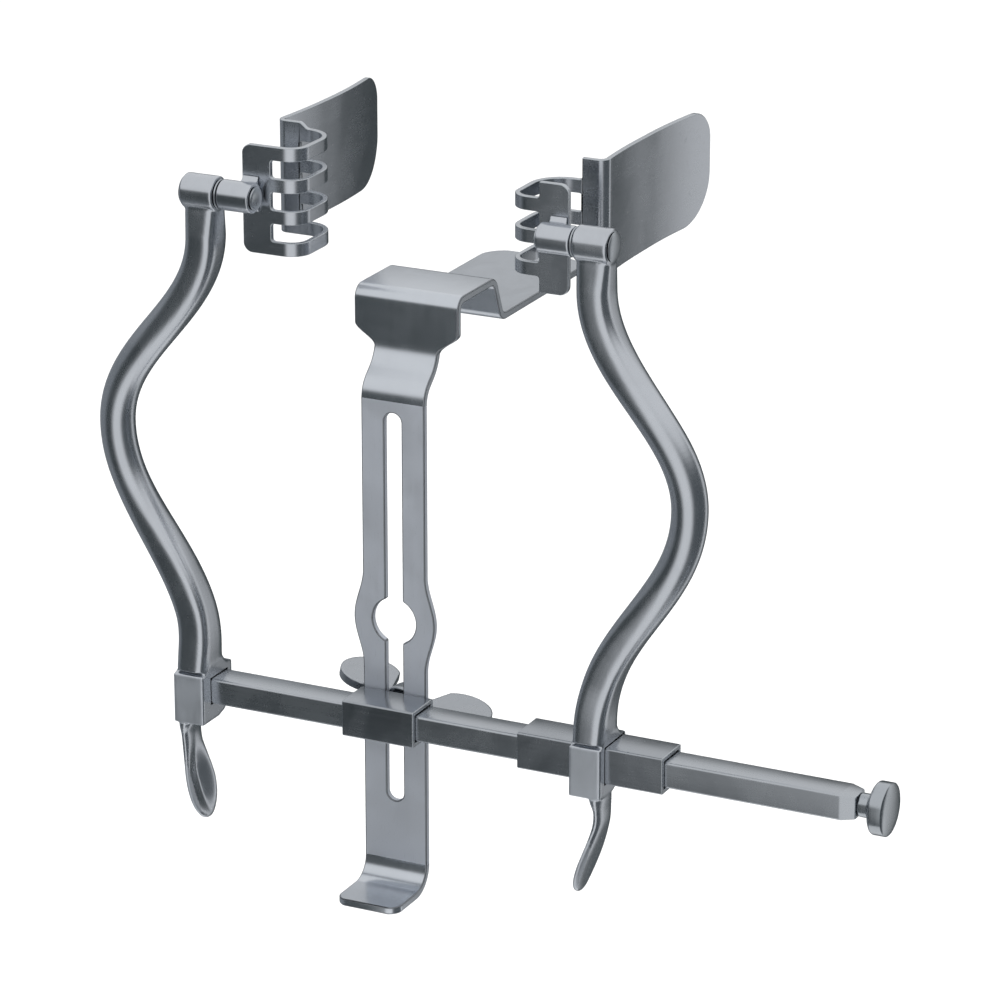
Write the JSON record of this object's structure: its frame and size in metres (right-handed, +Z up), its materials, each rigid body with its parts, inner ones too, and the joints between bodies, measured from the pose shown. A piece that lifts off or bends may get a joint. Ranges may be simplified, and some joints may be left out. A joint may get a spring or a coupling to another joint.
{
  "type": "bladder retractor",
  "caption": "Self-retaining surgical bladder retractor: a crossbar with a fixed and a sliding bowed arm, hinged looped lateral blades and a clamped, slotted centre blade.",
  "frame": {"origin": "centre of the crossbar's end face, flush with the outer face of the fixed arm's block", "axes": "+X along the crossbar from the fixed arm to the end knob, +Y back towards the tips of the blades, +Z up from the bar to the blade hinges"},
  "size_m": [0.2536, 0.119, 0.226],
  "materials": {
    "bar_steel": "drawn bar, polished along its length",
    "knob_steel": "turned and polished",
    "pin_steel": "turned, satin",
    "arm_steel": "forged, hand ground and polished",
    "stud_steel": "threaded, satin",
    "nut_steel": "cast and polished",
    "centre_blade_steel": "sheet, satin with polished bends",
    "lateral_blade_steel": "sheet, satin with polished edges",
    "barrel_steel": "turned and polished"
  },
  "bodies": {
    "frame": {"crossbar": "bar_steel", "bar_fixing_pin": "pin_steel", "left_arm": "arm_steel", "left_hinge_pin": "pin_steel", "left_hinge_washer": "pin_steel"},
    "knob": {"end_knob": "knob_steel"},
    "sliding_arm": {"right_arm": "arm_steel", "right_slide_sleeve": "bar_steel", "right_hinge_pin": "pin_steel", "right_hinge_washer": "pin_steel"},
    "slider": {"centre_slider": "bar_steel", "clamp_stud": "stud_steel"},
    "nut": {"wing_nut": "nut_steel"},
    "centre": {"centre_blade": "centre_blade_steel"},
    "left_blade": {"left_lateral_blade": "lateral_blade_steel", "left_hinge_barrel": "barrel_steel"},
    "right_blade": {"right_lateral_blade": "lateral_blade_steel", "right_hinge_barrel": "barrel_steel"}
  },
  "joints": [
    {"name": "end_knob_turn", "type": "hinge", "parent": "frame", "child": "knob", "pos_m": [0.216, 0, 0], "axis": [1, 0, 0], "continuous": true},
    {"name": "right_arm_slide", "type": "slide", "parent": "frame", "child": "sliding_arm", "axis": [1, 0, 0], "range_m": [-0.013, 0.059]},
    {"name": "centre_slider_slide", "type": "slide", "parent": "frame", "child": "slider", "axis": [1, 0, 0], "range_m": [-0.009, 0.0045]},
    {"name": "centre_blade_slide", "type": "slide", "parent": "slider", "child": "centre", "axis": [0, 0, 1], "range_m": [-0.066, 0.025]},
    {"name": "wing_nut_turn", "type": "hinge", "parent": "slider", "child": "nut", "pos_m": [0.0654, 0, 0], "axis": [0, 1, 0], "continuous": true},
    {"name": "left_blade_swing", "type": "hinge", "parent": "frame", "child": "left_blade", "pos_m": [0.0075, 0.001, 0.1526], "axis": [1, 0, 0], "range_deg": [-90, 90]},
    {"name": "right_blade_swing", "type": "hinge", "parent": "sliding_arm", "child": "right_blade", "pos_m": [0.1325, 0.001, 0.1526], "axis": [1, 0, 0], "range_deg": [-90, 90]}
  ]
}
